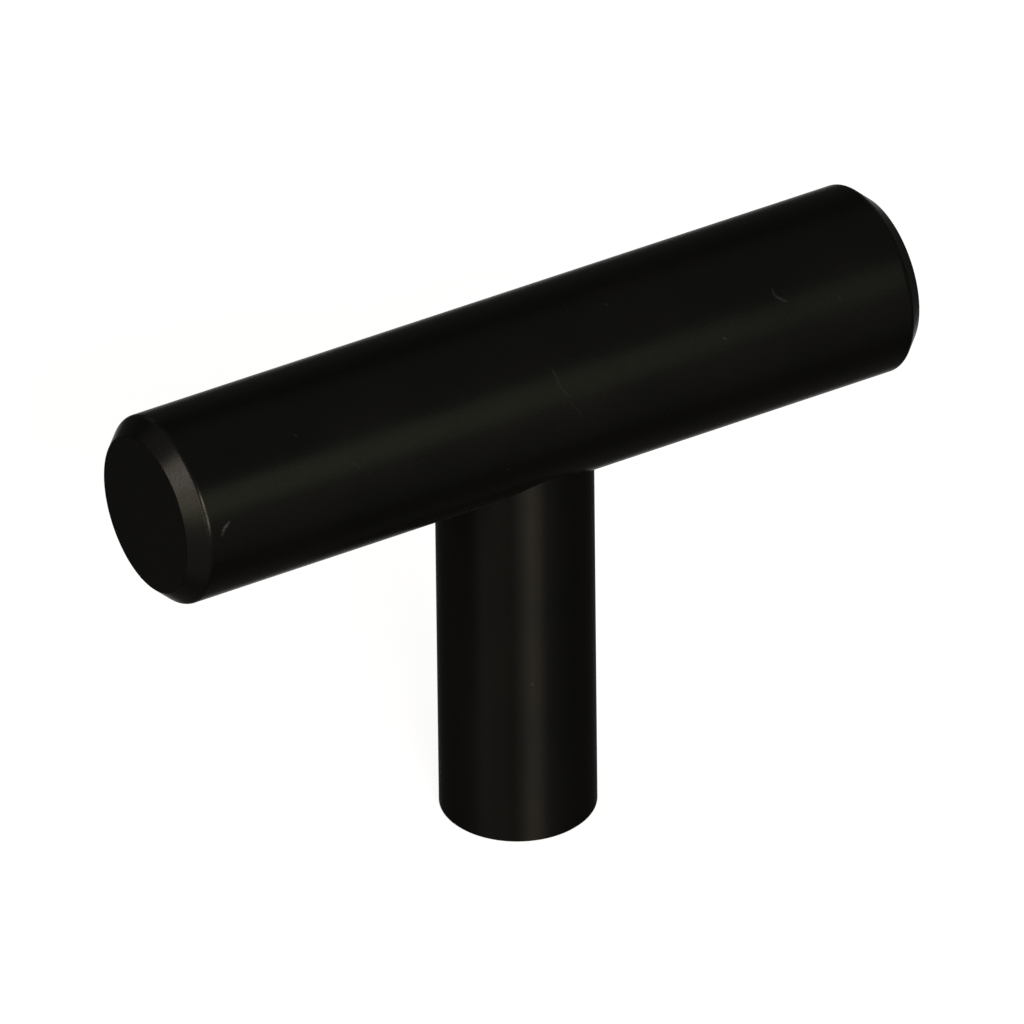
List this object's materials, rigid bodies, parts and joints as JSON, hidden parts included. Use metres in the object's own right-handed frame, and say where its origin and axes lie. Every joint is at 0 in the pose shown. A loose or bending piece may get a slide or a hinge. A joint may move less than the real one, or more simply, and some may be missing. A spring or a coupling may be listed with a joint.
{
  "type": "cabinet bar pull",
  "caption": "T-shaped cabinet pull: a round bar with chamfered ends on a round post coped to fit it, with a blind threaded hole in the post's base.",
  "frame": {"origin": "centre of the post's base, on the face that seats on the door or drawer front", "axes": "+Z out from the door along the post, +X along the bar, +Y across the bar"},
  "size_m": [0.0512, 0.0118, 0.035],
  "materials": {
    "black_finish": "satin",
    "stud_steel": "satin"
  },
  "bodies": {
    "root": {"bar": "black_finish", "post": "black_finish", "joining_stud": "stud_steel"}
  },
  "joints": []
}
